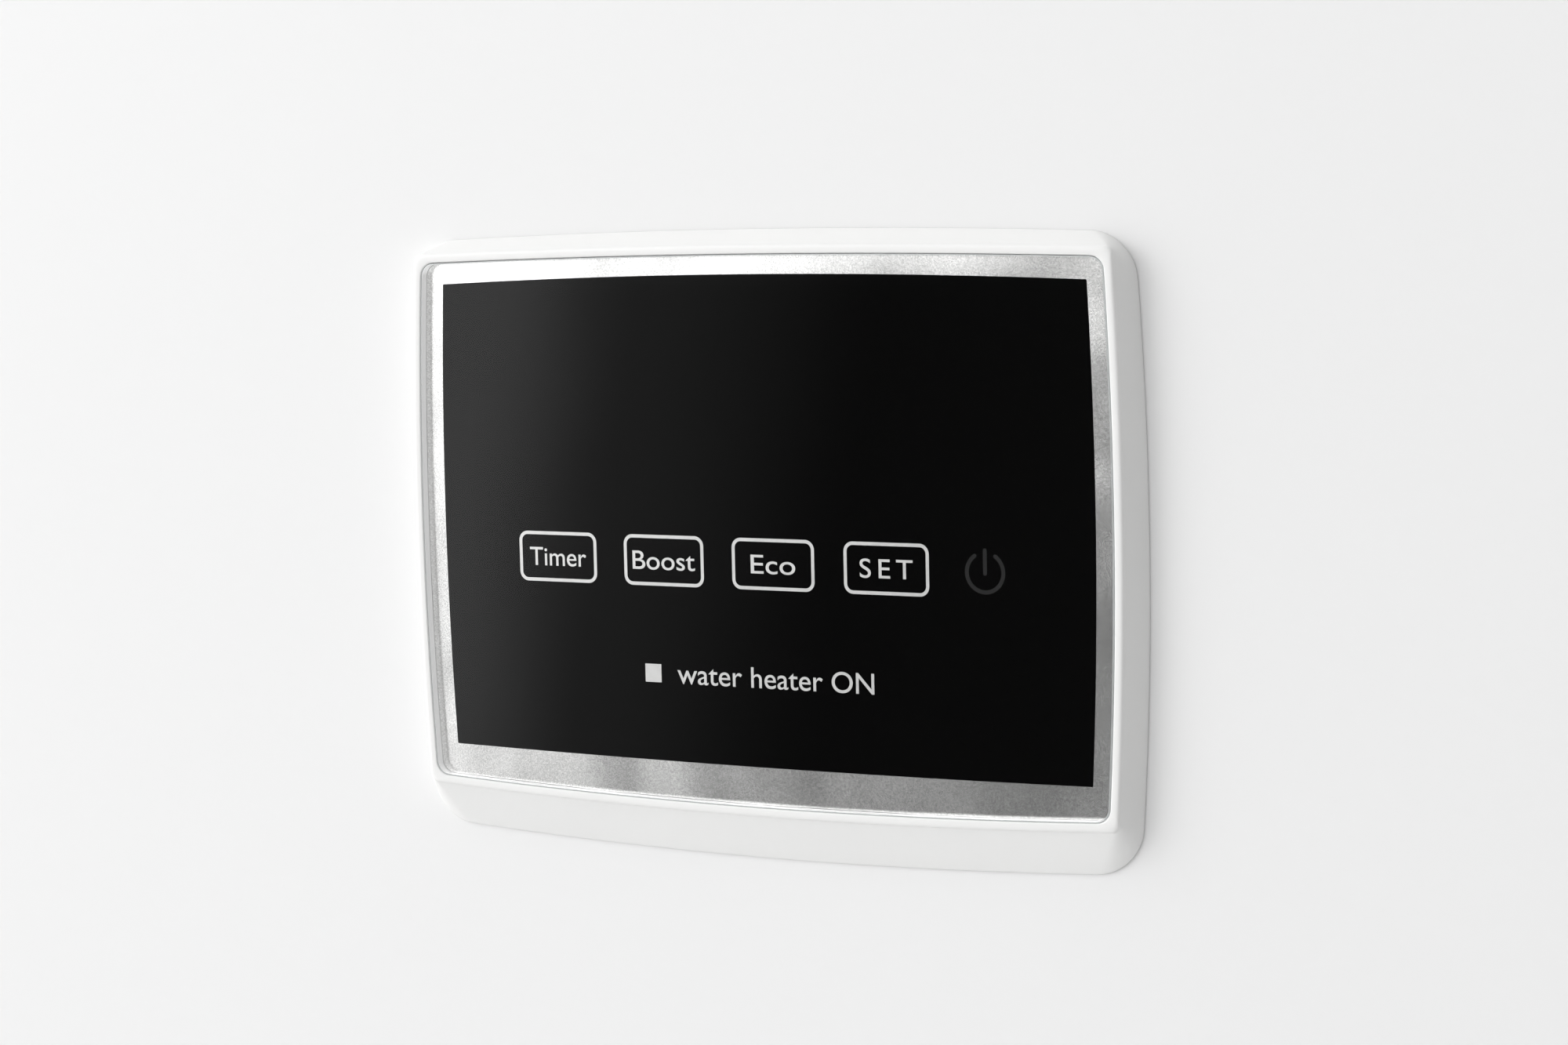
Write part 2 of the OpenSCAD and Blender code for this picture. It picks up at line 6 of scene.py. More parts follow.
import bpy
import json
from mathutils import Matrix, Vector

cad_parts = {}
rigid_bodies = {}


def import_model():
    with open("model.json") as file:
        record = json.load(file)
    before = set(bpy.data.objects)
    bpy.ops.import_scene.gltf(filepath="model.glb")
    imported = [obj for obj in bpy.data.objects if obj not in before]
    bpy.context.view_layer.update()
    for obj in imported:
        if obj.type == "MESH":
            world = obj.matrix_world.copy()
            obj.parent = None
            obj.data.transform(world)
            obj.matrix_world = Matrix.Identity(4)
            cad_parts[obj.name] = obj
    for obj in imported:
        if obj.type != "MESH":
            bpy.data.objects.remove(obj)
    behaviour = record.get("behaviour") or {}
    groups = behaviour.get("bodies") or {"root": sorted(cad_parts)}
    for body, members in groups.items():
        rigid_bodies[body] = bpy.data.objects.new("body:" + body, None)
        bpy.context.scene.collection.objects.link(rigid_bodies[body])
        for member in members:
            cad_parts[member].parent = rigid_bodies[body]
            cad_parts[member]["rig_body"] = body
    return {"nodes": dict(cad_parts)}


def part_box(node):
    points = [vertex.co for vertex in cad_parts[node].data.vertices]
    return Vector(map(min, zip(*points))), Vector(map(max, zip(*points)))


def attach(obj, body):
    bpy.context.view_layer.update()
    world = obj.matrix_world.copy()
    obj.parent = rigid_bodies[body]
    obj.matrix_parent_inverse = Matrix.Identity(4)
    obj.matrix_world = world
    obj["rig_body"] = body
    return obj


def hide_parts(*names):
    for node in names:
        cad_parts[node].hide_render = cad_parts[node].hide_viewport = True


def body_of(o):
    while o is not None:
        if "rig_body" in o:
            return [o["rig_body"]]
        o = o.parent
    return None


bl_info = {
    "name": "Heating Control Panel",
    "version": (1, 0, 0),
    "blender": (4, 5, 0),
    "location": "View3D > Sidebar > Heating Panel",
    "description": "Pieces, finishes and studio of a heating control panel",
    "category": "Add Mesh",
}

import json
import math

import bmesh
import bpy
from bpy.props import FloatProperty, FloatVectorProperty, PointerProperty, StringProperty
from mathutils import Matrix, Vector

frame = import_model()

MM = 0.001
MERGE = 0.1 * MM * MM
MERGE_PACKED = MM * MM
SIDEBAR = "Heating Panel"

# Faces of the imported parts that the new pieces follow.
LENS_LOW, LENS_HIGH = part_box("lens_panel")
BEZEL_LOW, BEZEL_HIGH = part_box("front_bezel")
COVER_LOW, COVER_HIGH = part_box("rear_cover")
GASKET_LOW, GASKET_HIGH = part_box("casing_gasket")
BOARD_LOW, BOARD_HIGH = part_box("main_board")
FRONT_Y = LENS_LOW.y
PRINT_Y = LENS_HIGH.y
LEDGE_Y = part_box("lens_tape")[1].y
LENS_W = LENS_HIGH.x - LENS_LOW.x
LENS_H = LENS_HIGH.z - LENS_LOW.z
LENS_Z = (LENS_HIGH.z + LENS_LOW.z) / 2
BEZEL_W = BEZEL_HIGH.x - BEZEL_LOW.x
BEZEL_H = BEZEL_HIGH.z - BEZEL_LOW.z
COVER_W = COVER_HIGH.x - COVER_LOW.x

# How far each outline's sides bow outward: at the sides, the top and the bottom.
LENS_BOW = (1.3 * MM, 0.95 * MM, 1.7 * MM)
RIM_BOW = (1.35 * MM, 0.95 * MM, 1.8 * MM)
BEZEL_BOW = (1.9 * MM, 1.3 * MM, 2.2 * MM)

# Places of the printed layers.
KEY_W = 14.8 * MM
KEY_PITCH = 20 * MM
KEY_Z = -2.5 * MM  # height of the capitals' middle on the keys
STATUS_LEFT = -14.7 * MM
STATUS_W = 35.5 * MM
STANDBY_X = 34 * MM  # the standby symbol lies to the right of this
INK_GAP = 0.01 * MM  # keeps the lens's back off the ink, so that the two faces don't lie on each other


def linear(hex_colour):
    """Linear red, green, blue and alpha of an sRGB hex colour."""
    parts = [int(hex_colour[i:i + 2], 16) / 255 for i in (1, 3, 5)]
    return tuple(c / 12.92 if c <= 0.04045 else ((c + 0.055) / 1.055) ** 2.4 for c in parts) + (1,)


# ---- sizes and colours that a user may change ----


def length(name, description, millimetres):
    return FloatProperty(name=name, description=description, default=millimetres * MM, unit="LENGTH",
                         min=0, precision=5)


def angle(name, description, degrees):
    return FloatProperty(name=name, description=description, default=math.radians(degrees),
                         subtype="ANGLE")


def colour(name, description, hex_colour):
    return FloatVectorProperty(name=name, description=description, default=linear(hex_colour),
                               size=4, subtype="COLOR", min=0, max=1)


def word(name, description, text):
    return StringProperty(name=name, description=description, default=text)


class PanelSizes(bpy.types.PropertyGroup):
    """Sizes that the frame leaves open"""

    lens_gap: length("Lens gap", "Clear gap between the lens and the rim", 0.15)
    lens_corner: length("Lens corner", "Corner radius of the lens", 2)
    lens_chamfer: length("Lens chamfer", "Width of the polished chamfer round the lens", 0.14)
    rim_width: length("Rim width", "Width of the flat rim round the lens", 1.5)
    rim_corner: length("Rim corner", "Corner radius of the rim's outer edge", 1.2)
    rim_rounding: length("Rim rounding", "Reach of the soft rounding outside the rim", 0.75)
    foot_height: length("Foot height", "Height of the bezel's square foot", 0.6)
    foot_corner: length("Foot corner", "Corner radius of the bezel on the casing", 7)
    shadow_gap: length("Shadow gap", "Height of the gap between the foot and the casing", 0.15)
    wall: length("Wall", "Wall thickness of the mouldings", 2)
    moulded_edge: length("Moulded edge", "Rounding of the rear cover's edges", 0.35)
    sheet_edge: length("Sheet edge", "Rounding of the stamped clips' edges", 0.08)
    ink: length("Ink", "How far the lettering stands in front of the black layer", 0.02)
    legend_height: length("Legend height", "Height of the capitals on the keys", 3)
    status_height: length("Status height", "Height of the capitals in the status line", 3.3)


class PanelColours(bpy.types.PropertyGroup):
    """Colours of the finishes"""

    moulding: colour("Moulding", "Gloss white ABS of the bezel", "#F1F1F0")
    cover: colour("Rear cover", "Matt white ABS of the rear cover", "#E4E4E1")
    silver: colour("Silver", "Metallic ink of the border", "#EDEDEC")
    black: colour("Black", "Black ink of the window", "#030303")
    legend: colour("Legend", "Silver-grey ink of the legends", "#D2D2D1")
    dim_legend: colour("Dim legend", "Unlit ink of the standby symbol", "#303030")
    solder_mask: colour("Solder mask", "Green lacquer of the circuit board", "#0E4A2C")
    casing: colour("Casing", "Paint of the backdrop that the panel sits in", "#F0F0F0")


class PanelWords(bpy.types.PropertyGroup):
    """Generic words on the keys and in the status line"""

    key_1: word("Key 1", "Word on the first key", "Timer")
    key_2: word("Key 2", "Word on the second key", "Boost")
    key_3: word("Key 3", "Word on the third key", "Eco")
    key_4: word("Key 4", "Word on the fourth key", "SET")
    status: word("Status", "Words of the status line", "water heater ON")


class StudioSettings(bpy.types.PropertyGroup):
    """Camera and light"""

    azimuth: angle("Azimuth", "Direction of the camera, right of the panel's front", 27.62)
    elevation: angle("Elevation", "Height of the camera above the panel", 5.85)
    roll: angle("Roll", "Turn of the camera about its own axis", 1.3)
    distance: length("Distance", "Distance from the camera to the middle of the window", 517.46)
    shift_right: length("Shift right", "Sideways place of the camera", 4.81)
    shift_up: length("Shift up", "Upward place of the camera", 0.207)
    focal: FloatProperty(name="Focal length", description="Focal length of the lens", default=74.5,
                         unit="CAMERA")
    sky: FloatProperty(name="Sky", description="Brightness of the soft light all round", default=0.745)
    key_power: FloatProperty(name="Key light", description="Power of the large soft light",
                             default=2.9, unit="POWER")


def sizes():
    return bpy.context.scene.heating_panel_sizes


def colours():
    return bpy.context.scene.heating_panel_colours


# ---- outlines, as lists of (x, z) ----

CORNER_POINTS = 12
SIDE_POINTS = 24


def rounded(half_w, half_h, r):
    """Anticlockwise points of a rounded rectangle, with extra points along its sides."""
    points = []
    centres = [(half_w - r, half_h - r), (r - half_w, half_h - r),
               (r - half_w, r - half_h), (half_w - r, r - half_h)]
    for quarter, (cx, cz) in enumerate(centres):
        for k in range(CORNER_POINTS + 1):
            a = math.pi / 2 * (quarter + k / CORNER_POINTS)
            points.append((cx + r * math.cos(a), cz + r * math.sin(a)))
        nx, nz = centres[(quarter + 1) % 4]
        ex, ez = points[-1]
        for k in range(1, SIDE_POINTS):
            points.append((ex + (nx - cx) * k / SIDE_POINTS, ez + (nz - cz) * k / SIDE_POINTS))
    return points


def bowed(w, h, bow, r, centre_z=0.0):
    """A rounded rectangle whose sides bow outward; w and h are measured over the bows."""
    side, top, bottom = bow
    half_w = w / 2 - side
    z_top, z_bottom = h / 2 - top, bottom - h / 2
    middle, half_h = (z_top + z_bottom) / 2, (z_top - z_bottom) / 2
    points = []
    for x, z in rounded(half_w, half_h, r):
        tx, tz = x / half_w, z / half_h
        rise = top if tz > 0 else bottom
        points.append((x + side * (1 - tz * tz) * tx,
                       centre_z + middle + z + rise * (1 - tx * tx) * tz))
    return points


def between(a, b, share):
    """The outline that lies the given share of the way from outline a to outline b."""
    return [(ax + (bx - ax) * share, az + (bz - az) * share) for (ax, az), (bx, bz) in zip(a, b)]


def disc(x, z, r, count=32):
    turns = [2 * math.pi * k / count for k in range(count)]
    return [(x + r * math.cos(a), z + r * math.sin(a)) for a in turns]


# ---- mesh work ----


def finish_piece(bm, name, body="module", replaces=(), sharp=35):
    """Makes the piece from its bmesh, riding on its body. Edges above the sharp angle stay sharp."""
    mesh = bpy.data.meshes.new(name)
    bm.to_mesh(mesh)
    bm.free()
    piece = bpy.data.objects.new(name, mesh)
    bpy.context.scene.collection.objects.link(piece)
    mesh.shade_smooth()
    mesh.set_sharp_from_angle(angle=math.radians(sharp))
    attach(piece, body)
    if replaces:
        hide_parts(*replaces)
    return piece


def skin(bm, rings, closed):
    """Adds a skin over rings of (outline, y). A closed skin joins its last ring to its first."""
    place = bm.verts.layers.int.get("place") or bm.verts.layers.int.new("place")
    outline, y = rings[0]
    verts = bmesh.ops.create_circle(bm, segments=len(outline), radius=1)["verts"]
    for k, vert in enumerate(verts):
        vert[place] = k
        vert.co = (outline[k][0], y, outline[k][1])
    first, made = list(verts), list(verts)
    edges = list({e for v in verts for e in v.link_edges})
    for outline, y in rings[1:]:
        grown = bmesh.ops.extrude_edge_only(bm, edges=edges)["geom"]
        verts = [g for g in grown if isinstance(g, bmesh.types.BMVert)]
        for vert in verts:
            x, z = outline[vert[place]]
            vert.co = (x, y, z)
        made += verts
        new = set(verts)
        edges = [e for e in {e for v in verts for e in v.link_edges} if set(e.verts) <= new]
    if closed:
        bmesh.ops.bridge_loops(bm, edges=edges + [e for e in {e for v in first for e in v.link_edges}
                                                  if set(e.verts) <= set(first)])
    else:
        for loop in (first, verts):
            ring = [e for e in {e for v in loop for e in v.link_edges} if set(e.verts) <= set(loop)]
            bmesh.ops.contextual_create(bm, geom=ring)
    faces = list({f for v in made for f in v.link_faces})
    bmesh.ops.recalc_face_normals(bm, faces=faces)
    return faces


def softened(node, edge, segments=2, steepest=30):
    """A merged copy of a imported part's mesh, with its sharp edges rounded."""
    bm = bmesh.new()
    bm.from_mesh(frame["nodes"][node].data)
    bmesh.ops.remove_doubles(bm, verts=bm.verts, dist=MERGE_PACKED)
    bmesh.ops.dissolve_limit(bm, angle_limit=math.radians(1), verts=bm.verts, edges=bm.edges)
    if edge:
        sharp = [e for e in bm.edges
                 if len(e.link_faces) == 2 and e.calc_face_angle(0) > math.radians(steepest)]
        bmesh.ops.bevel(bm, geom=sharp, offset=edge, offset_type="OFFSET", segments=segments,
                        profile=0.5, affect="EDGES", material=-1, clamp_overlap=True)
    return bm


def soften_parts(names, edge, material, segments=2, sharp=35):
    """Merged copies, rounded where edge is above 0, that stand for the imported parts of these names."""
    for name in names:
        piece = finish_piece(softened(name, edge, segments), name + "_finished",
                             body_of(frame["nodes"][name])[0], [name], sharp)
        piece.data.materials.clear()
        piece.data.materials.append(material)


def dress(names, material):
    """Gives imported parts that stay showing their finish."""
    for name in names:
        for place in frame["nodes"][name].material_slots:
            place.link = "OBJECT"
            place.material = material


# ---- materials ----


def add_node(tree, kind, inputs=None, **settings):
    """Adds a shader node. inputs gives each input's value, or the output that feeds it."""
    node = tree.nodes.new("ShaderNode" + kind)
    for name, value in settings.items():
        setattr(node, name, value)
    for name, value in (inputs or {}).items():
        if isinstance(value, bpy.types.NodeSocket):
            tree.links.new(value, node.inputs[name])
        else:
            node.inputs[name].default_value = value
    return node


def new_material(name):
    """An empty node material with its tree and the socket that its surface goes to."""
    material = bpy.data.materials.new(name)
    material.use_nodes = True
    tree = material.node_tree
    tree.nodes.clear()
    return material, tree, add_node(tree, "OutputMaterial").inputs["Surface"]


def noise(tree, grain, detail=2.0, stretch=(1, 1, 1)):
    """Noise on Object coordinates whose features are about one grain, in metres, across."""
    at = add_node(tree, "TexCoord").outputs["Object"]
    scaled = add_node(tree, "Mapping", {"Vector": at, "Scale": stretch}).outputs["Vector"]
    inputs = {"Vector": scaled, "Scale": 1 / grain, "Detail": detail}
    return add_node(tree, "TexNoise", inputs).outputs["Fac"]


def spread(tree, value, low, high, start=0.3, end=0.7):
    """Maps a noise value from start..end to low..high."""
    inputs = {"Value": value, "From Min": start, "From Max": end, "To Min": low, "To Max": high}
    return add_node(tree, "MapRange", inputs).outputs["Result"]


def bump(tree, height, depth, normal=None):
    inputs = {"Height": height, "Distance": depth, "Strength": 1}
    if normal:
        inputs["Normal"] = normal
    return add_node(tree, "Bump", inputs).outputs["Normal"]


def shades(tree, value, dark, light):
    """A colour from dark to light by a value from 0 to 1."""
    node = add_node(tree, "Mix", data_type="RGBA")
    tree.links.new(value, node.inputs[0])
    node.inputs[6].default_value = dark
    node.inputs[7].default_value = light
    return node.outputs[2]


def tinted(colour_value, factor):
    return tuple(min(c * factor, 1) for c in colour_value[:3]) + (1,)


def plastic(name, base, rough, grain, depth, ior=1.53, mottle=0.03):
    """Moulded plastic: even colour with faint flow mottling, and the fine bite of the tool's face."""
    material, tree, surface = new_material(name)
    mottling = noise(tree, 9 * MM, 3)
    bite = noise(tree, grain, 3)
    shader = add_node(tree, "BsdfPrincipled", {
        "Base Color": shades(tree, mottling, tinted(base, 1 - mottle), tinted(base, 1 + mottle)),
        "Roughness": spread(tree, bite, rough * 0.85, rough * 1.15),
        "IOR": ior,
        "Normal": bump(tree, bite, depth),
    })
    tree.links.new(shader.outputs["BSDF"], surface)
    return material


def gloss_white_abs():
    """Gloss white ABS, moulded on a polished tool: soft even sheen with a faint orange peel."""
    material, tree, surface = new_material("gloss_white_moulded_abs")
    base = tuple(colours().moulding)
    flow = noise(tree, 14 * MM, 2)
    peel = noise(tree, 3 * MM, 1)
    dust = noise(tree, 0.3 * MM, 2)
    shader = add_node(tree, "BsdfPrincipled", {
        "Base Color": shades(tree, flow, tinted(base, 0.985), tinted(base, 1.015)),
        "Roughness": spread(tree, dust, 0.3, 0.38),
        "IOR": 1.53,
        "Normal": bump(tree, dust, 0.002 * MM, bump(tree, peel, 0.01 * MM)),
    })
    tree.links.new(shader.outputs["BSDF"], surface)
    return material


def clear_acrylic():
    """Cast clear acrylic sheet: only its front face mirrors the room, by Fresnel's law."""
    material, tree, surface = new_material("clear_cast_acrylic")
    front = add_node(tree, "Math", {0: 1.0, 1: add_node(tree, "NewGeometry").outputs["Backfacing"]},
                     operation="SUBTRACT").outputs[0]
    sheen = add_node(tree, "Fresnel", {"IOR": 1.49}).outputs["Fac"]
    share = add_node(tree, "Math", {0: sheen, 1: front}, operation="MULTIPLY").outputs[0]
    wave = noise(tree, 40 * MM, 1)
    gloss = add_node(tree, "BsdfGlossy", {"Color": (1, 1, 1, 1), "Roughness": 0.03,
                                          "Normal": bump(tree, wave, 0.05 * MM)})
    clear = add_node(tree, "BsdfTransparent", {"Color": (1, 1, 1, 1)})
    mixed = add_node(tree, "MixShader", {0: share, 1: clear.outputs[0], 2: gloss.outputs[0]})
    tree.links.new(mixed.outputs[0], surface)
    return material


def polished_acrylic_edge():
    """Polished acrylic edge: a pale glassy line from outside, whose pale colour is a painted highlight
    over a real gloss.
    From inside it is half mirror and half painted pale matt, with a weak painted glow of its own."""
    material, tree, surface = new_material("polished_acrylic_edge")
    streak = noise(tree, 2 * MM, 2)
    # The pale base colour is a painted highlight: it makes the clear edge show as a bright line. The
    # gloss is real.
    glass = add_node(tree, "BsdfPrincipled", {
        "Base Color": shades(tree, streak, linear("#D8DBDC"), linear("#F4F6F6")),
        "Roughness": spread(tree, streak, 0.08, 0.2),
        "IOR": 1.49,
    })
    clear = add_node(tree, "BsdfTransparent", {"Color": linear("#E8ECEC")})
    outside = add_node(tree, "MixShader", {0: 0.7, 1: clear.outputs[0], 2: glass.outputs["BSDF"]})
    # From inside, the pale matt and the emission are painted light that brightens the edge; the mirror
    # is real.
    mirror = add_node(tree, "BsdfGlossy", {"Color": linear("#F8F8F8"), "Roughness": 0.2})
    painted_pale_matt = add_node(tree, "BsdfDiffuse", {"Color": linear("#F8F8F8")})
    painted_edge_glow = add_node(tree, "Emission", {"Color": (1, 1, 1, 1), "Strength": 0.25})
    half = add_node(tree, "MixShader", {0: 0.5, 1: mirror.outputs[0], 2: painted_pale_matt.outputs[0]})
    inside = add_node(tree, "AddShader", {0: half.outputs[0], 1: painted_edge_glow.outputs[0]})
    back = add_node(tree, "NewGeometry").outputs["Backfacing"]
    mixed = add_node(tree, "MixShader", {0: back, 1: outside.outputs[0], 2: inside.outputs[0]})
    tree.links.new(mixed.outputs[0], surface)
    return material


def silver_ink():
    """Silver ink seen through the lens: fine flake, and soft waves where the ink lies uneven."""
    material, tree, surface = new_material("silver_screen_ink")
    base = tuple(colours().silver)
    flake = noise(tree, 0.22 * MM, 1)
    wave = noise(tree, 18 * MM, 1)
    shader = add_node(tree, "BsdfPrincipled", {
        "Base Color": shades(tree, spread(tree, flake, 0, 1), tinted(base, 0.86), tinted(base, 1.12)),
        "Metallic": 1.0,
        "Roughness": spread(tree, wave, 0.185, 0.22),
        "Normal": bump(tree, flake, 0.0015 * MM, bump(tree, wave, 0.3 * MM)),
    })
    tree.links.new(shader.outputs["BSDF"], surface)
    return material


def black_ink():
    """Dense black ink on the back of the lens: no texture of its own but a trace of pinholes."""
    material, tree, surface = new_material("black_screen_ink")
    base = tuple(colours().black)
    speck = noise(tree, 0.5 * MM, 2)
    shader = add_node(tree, "BsdfPrincipled", {
        "Base Color": shades(tree, speck, tinted(base, 0.8), tinted(base, 1.3)),
        "Roughness": spread(tree, speck, 0.5, 0.7),
        "Specular IOR Level": 0.0,
    })
    tree.links.new(shader.outputs["BSDF"], surface)
    return material


def legend_ink():
    """Fine silver-grey ink of the key boxes, and the darker unlit ink of the standby symbol."""
    material, tree, surface = new_material("silver_grey_screen_ink")
    at = add_node(tree, "TexCoord").outputs["Object"]
    across = add_node(tree, "SeparateXYZ", {0: at}).outputs["X"]
    standby_side = add_node(tree, "Math", {0: across, 1: STANDBY_X}, operation="GREATER_THAN")
    base = tuple(colours().legend)
    mesh_marks = noise(tree, 0.4 * MM, 2)
    pale = shades(tree, mesh_marks, tinted(base, 0.92), tinted(base, 1.05))
    both = add_node(tree, "Mix", {0: standby_side.outputs[0], 6: pale,
                                  7: tuple(colours().dim_legend)}, data_type="RGBA")
    shader = add_node(tree, "BsdfPrincipled", {"Base Color": both.outputs[2], "Metallic": 1.0,
                                               "Roughness": spread(tree, mesh_marks, 0.32, 0.38)})
    tree.links.new(shader.outputs["BSDF"], surface)
    return material


def foam(name, base, cell):
    """Closed-cell foam: matt, with its cut cells as small pits that are darkened with painted shade."""
    material, tree, surface = new_material(name)
    at = add_node(tree, "TexCoord").outputs["Object"]
    cells = add_node(tree, "TexVoronoi", {"Vector": at, "Scale": 1 / cell}).outputs["Distance"]
    shader = add_node(tree, "BsdfPrincipled", {
        # Painted shade: the colour darkens towards each cell's middle, where the pit is deepest.
        "Base Color": shades(tree, spread(tree, cells, 0, 1, 0, 0.7), tinted(base, 0.55), base),
        "Roughness": 0.9,
        "Normal": bump(tree, cells, 0.12 * MM),
    })
    tree.links.new(shader.outputs["BSDF"], surface)
    return material


def metal(name, base, rough, grain, depth, stretch=(1, 1, 1)):
    """Plated or rolled metal: fine grain, along the rolling direction where stretch says so."""
    material, tree, surface = new_material(name)
    lines = noise(tree, grain, 3, stretch)
    cloud = noise(tree, 4 * MM, 2)
    shader = add_node(tree, "BsdfPrincipled", {
        "Base Color": shades(tree, cloud, tinted(base, 0.88), tinted(base, 1.08)),
        "Metallic": 1.0,
        "Roughness": spread(tree, lines, rough * 0.75, rough * 1.25),
        "Normal": bump(tree, lines, depth),
    })
    tree.links.new(shader.outputs["BSDF"], surface)
    return material


def board_laminate():
    """Glass-epoxy laminate under green lacquer: the glass weave and the copper tracks show through."""
    material, tree, surface = new_material("green_lacquered_glass_epoxy")
    base = tuple(colours().solder_mask)
    at = add_node(tree, "TexCoord").outputs["Object"]
    parts = add_node(tree, "SeparateXYZ", {0: at}).outputs
    flat = add_node(tree, "CombineXYZ", {0: parts["X"], 1: parts["Z"]}).outputs[0]
    tracks = add_node(tree, "TexBrick", {"Vector": flat, "Scale": 1 / (9 * MM), "Mortar Size": 0.035,
                                         "Brick Width": 0.9, "Row Height": 0.31,
                                         "Mortar Smooth": 0.1}).outputs["Fac"]
    weave = add_node(tree, "TexChecker", {"Vector": flat, "Scale": 1 / (0.5 * MM)}).outputs["Fac"]
    lacquer = shades(tree, weave, tinted(base, 0.94), tinted(base, 1.04))
    copper = add_node(tree, "Mix", {0: tracks, 6: lacquer, 7: tinted(base, 1.7)}, data_type="RGBA")
    shader = add_node(tree, "BsdfPrincipled", {
        "Base Color": copper.outputs[2],
        "Roughness": spread(tree, noise(tree, 1 * MM, 2), 0.22, 0.34),
        "IOR": 1.5,
        "Normal": bump(tree, tracks, 0.03 * MM),
    })
    tree.links.new(shader.outputs["BSDF"], surface)
    return material


def clear_resin(name, base, rough):
    """Cast clear resin of a lamp or a light pipe: body colour with a little light through it."""
    material, tree, surface = new_material(name)
    cloud = noise(tree, 1.5 * MM, 2)
    shader = add_node(tree, "BsdfPrincipled", {
        "Base Color": shades(tree, cloud, tinted(base, 0.92), tinted(base, 1.05)),
        "Roughness": spread(tree, cloud, rough, rough * 1.6),
        "IOR": 1.5,
        "Transmission Weight": 0.5,
    })
    tree.links.new(shader.outputs["BSDF"], surface)
    return material


def casing_paint():
    """Smooth white stoved paint of the backdrop. It shows from the front only."""
    material, tree, surface = new_material("white_stoved_paint")
    base = tuple(colours().casing)
    cloud = noise(tree, 300 * MM, 1)
    shader = add_node(tree, "BsdfPrincipled", {
        "Base Color": shades(tree, cloud, tinted(base, 0.99), tinted(base, 1.01)),
        "Roughness": 0.55,
    })
    clear = add_node(tree, "BsdfTransparent")
    back = add_node(tree, "NewGeometry").outputs["Backfacing"]
    mixed = add_node(tree, "MixShader", {0: back, 1: shader.outputs["BSDF"], 2: clear.outputs[0]})
    tree.links.new(mixed.outputs[0], surface)
    return material


def floor_paint(reach):
    """Plain pale floor that fades out towards its edge."""
    material, tree, surface = new_material("pale_floor_paint")
    at = add_node(tree, "TexCoord").outputs["Object"]
    parts = add_node(tree, "SeparateXYZ", {0: at}).outputs
    flat = add_node(tree, "CombineXYZ", {0: parts["X"], 1: parts["Y"]}).outputs[0]
    away = add_node(tree, "VectorMath", {0: flat}, operation="LENGTH").outputs["Value"]
    fade = add_node(tree, "MapRange", {"Value": away, "From Min": reach * 0.5, "From Max": reach},
                    interpolation_type="SMOOTHSTEP").outputs["Result"]
    shader = add_node(tree, "BsdfPrincipled", {"Base Color": tuple(colours().casing),
                                               "Roughness": 0.7})
    clear = add_node(tree, "BsdfTransparent")
    mixed = add_node(tree, "MixShader", {0: fade, 1: shader.outputs["BSDF"], 2: clear.outputs[0]})
    tree.links.new(mixed.outputs[0], surface)
    return material


# ---- pieces ----


